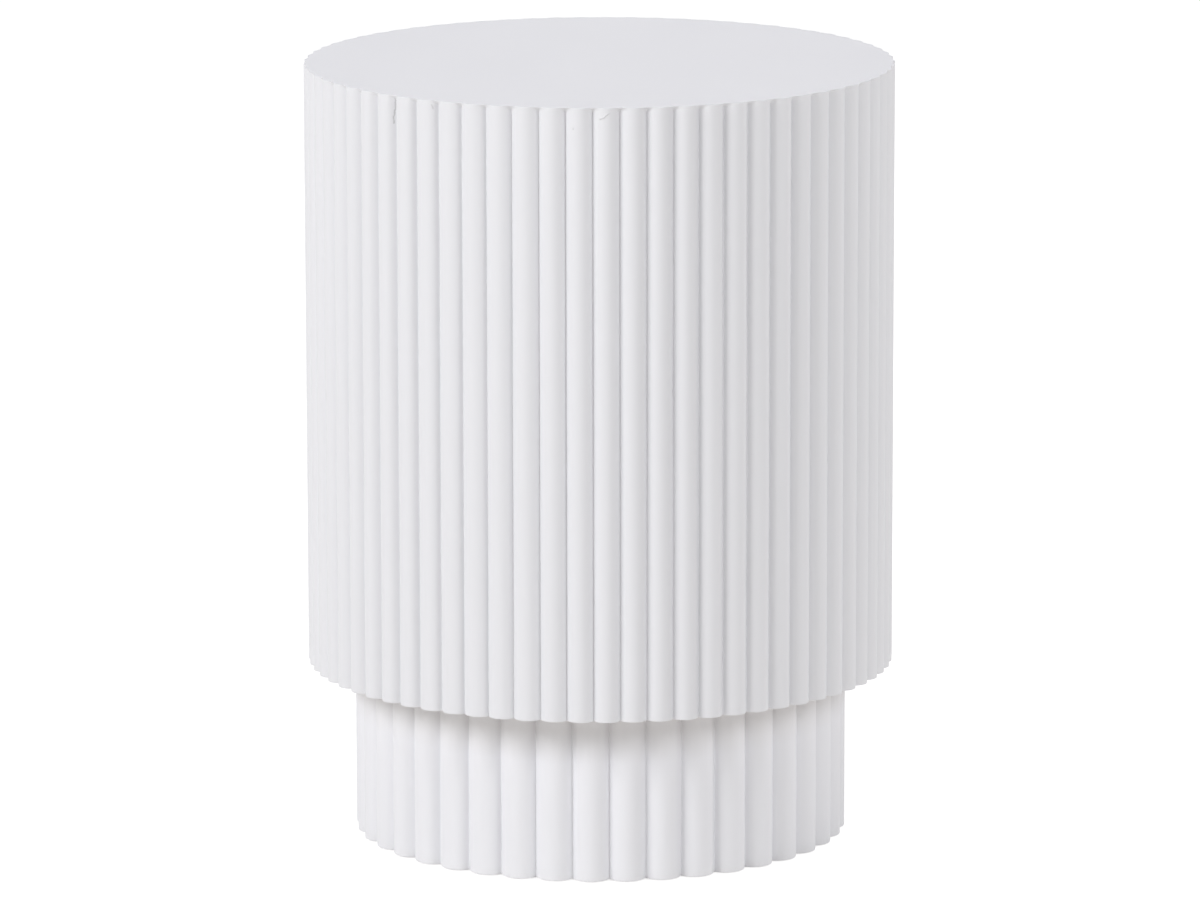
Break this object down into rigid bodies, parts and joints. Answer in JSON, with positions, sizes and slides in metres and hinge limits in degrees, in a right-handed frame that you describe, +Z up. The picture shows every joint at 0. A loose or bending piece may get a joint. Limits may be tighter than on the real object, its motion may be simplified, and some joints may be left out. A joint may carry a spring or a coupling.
{
  "type": "round side table",
  "caption": "Round side table with a flat top, a wide reeded drum and a narrower reeded plinth, painted matte white.",
  "frame": {"origin": "on the floor, under the middle of the table", "axes": "+Z up, the pictured front towards -Y, +X to the right of the picture"},
  "size_m": [0.3998, 0.3999, 0.53],
  "materials": {
    "white_paint": "matte white paint, brushed over filled and sanded wood",
    "plywood": "bare birch plywood",
    "softwood": "bare planed pine",
    "fibreboard": "bare medium density fibreboard",
    "zinc_steel": "zinc plated",
    "glide_nylon": "pale grey nylon"
  },
  "bodies": {
    "root": {"top_panel": "white_paint", "drum_reeds": "white_paint", "drum_skin": "plywood", "drum_former": "plywood", "drum_upright_1": "softwood", "drum_upright_2": "softwood", "drum_upright_3": "softwood", "drum_upright_4": "softwood", "drum_upright_5": "softwood", "drum_upright_6": "softwood", "drum_base_panel": "white_paint", "plinth_top_panel": "fibreboard", "plinth_reeds": "white_paint", "plinth_base_panel": "white_paint", "plinth_block_1": "softwood", "plinth_block_2": "softwood", "plinth_block_3": "softwood", "plinth_block_4": "softwood", "plinth_screws": "zinc_steel", "glide_1": "glide_nylon", "glide_2": "glide_nylon", "glide_3": "glide_nylon", "glide_4": "glide_nylon"}
  },
  "joints": []
}
